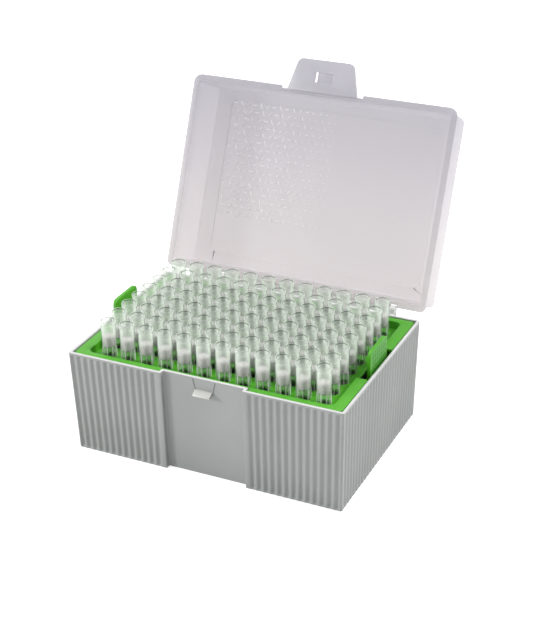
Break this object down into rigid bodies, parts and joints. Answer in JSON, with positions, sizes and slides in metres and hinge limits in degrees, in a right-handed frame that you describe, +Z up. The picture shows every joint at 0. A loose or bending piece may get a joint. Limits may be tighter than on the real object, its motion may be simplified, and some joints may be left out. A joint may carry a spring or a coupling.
{
  "type": "box of pipette tips",
  "caption": "Fluted open box with a clear hinged lid and a green rack holding rows of clear filter pipette tips.",
  "frame": {"origin": "centre of the base's underside", "axes": "+X along the long side, +Y towards the hinge, +Z up"},
  "size_m": [0.128, 0.1437, 0.1438],
  "materials": {
    "base_grey": "light grey moulded plastic with a fine satin grain",
    "rack_green": "bright green moulded plastic, half gloss",
    "lid_frosted": "clear plastic with a frosted inside, slightly grey",
    "tip_clear": "clear polished plastic with a faint green-grey tint",
    "filter_white": "white porous plastic"
  },
  "bodies": {
    "base": {"base_box": "base_grey", "rack_insert": "rack_green", "tips_column_01": "tip_clear", "tips_column_02": "tip_clear", "tips_column_03": "tip_clear", "tips_column_04": "tip_clear", "tips_column_05": "tip_clear", "tips_column_06": "tip_clear", "tips_column_07": "tip_clear", "tips_column_08": "tip_clear", "tips_column_09": "tip_clear", "tips_column_10": "tip_clear", "tips_column_11": "tip_clear", "tips_column_12": "tip_clear", "filters_column_01": "filter_white", "filters_column_02": "filter_white", "filters_column_03": "filter_white", "filters_column_04": "filter_white", "filters_column_05": "filter_white", "filters_column_06": "filter_white", "filters_column_07": "filter_white", "filters_column_08": "filter_white", "filters_column_09": "filter_white", "filters_column_10": "filter_white", "filters_column_11": "filter_white", "filters_column_12": "filter_white"},
    "lid": {"lid": "lid_frosted"},
    "latch": {"latch_tab": "lid_frosted"}
  },
  "joints": [
    {"name": "lid_hinge", "type": "hinge", "parent": "base", "child": "lid", "pos_m": [0, 0.04575, 0.0484], "axis": [1, 0, 0], "range_deg": [0, 113.5]},
    {"name": "latch_bend", "type": "hinge", "parent": "lid", "child": "latch", "pos_m": [0, 0.08119, 0.13054], "axis": [1, 0, 0], "range_deg": [-30, 90], "stiffness_Nm_per_rad": 0.003}
  ]
}
